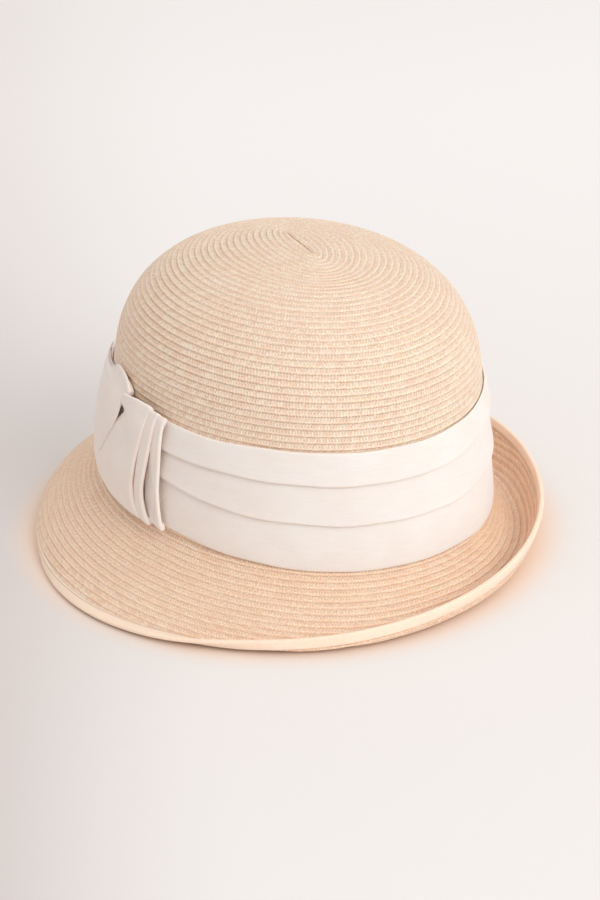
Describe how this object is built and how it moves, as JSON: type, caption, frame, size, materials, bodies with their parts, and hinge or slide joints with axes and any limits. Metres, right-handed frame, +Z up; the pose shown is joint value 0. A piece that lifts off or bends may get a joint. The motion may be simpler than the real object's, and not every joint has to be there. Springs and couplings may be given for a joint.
{
  "type": "straw cloche hat",
  "caption": "Cloche hat of sewn straw braid with a round crown, a brim that droops in front and rolls up behind, a pleated cloth band and a flat side bow.",
  "frame": {"origin": "under the middle of the hat's box, on the surface that the brim rests on", "axes": "+Z up; the wearer faces -Y; +X is the wearer's left, where the bow is"},
  "size_m": [0.2476, 0.258, 0.1446],
  "materials": {
    "straw": "matte natural straw braid",
    "hem_straw": "matte natural straw, smooth strip",
    "band_cloth": "matte woven cloth, off-white"
  },
  "bodies": {
    "root": {"crown": "straw", "brim": "straw", "brim_hem": "hem_straw", "band": "band_cloth", "bow_fold_inner": "band_cloth", "bow_fold_outer": "band_cloth", "bow_panel": "band_cloth", "bow_far_fold": "band_cloth"}
  },
  "joints": []
}
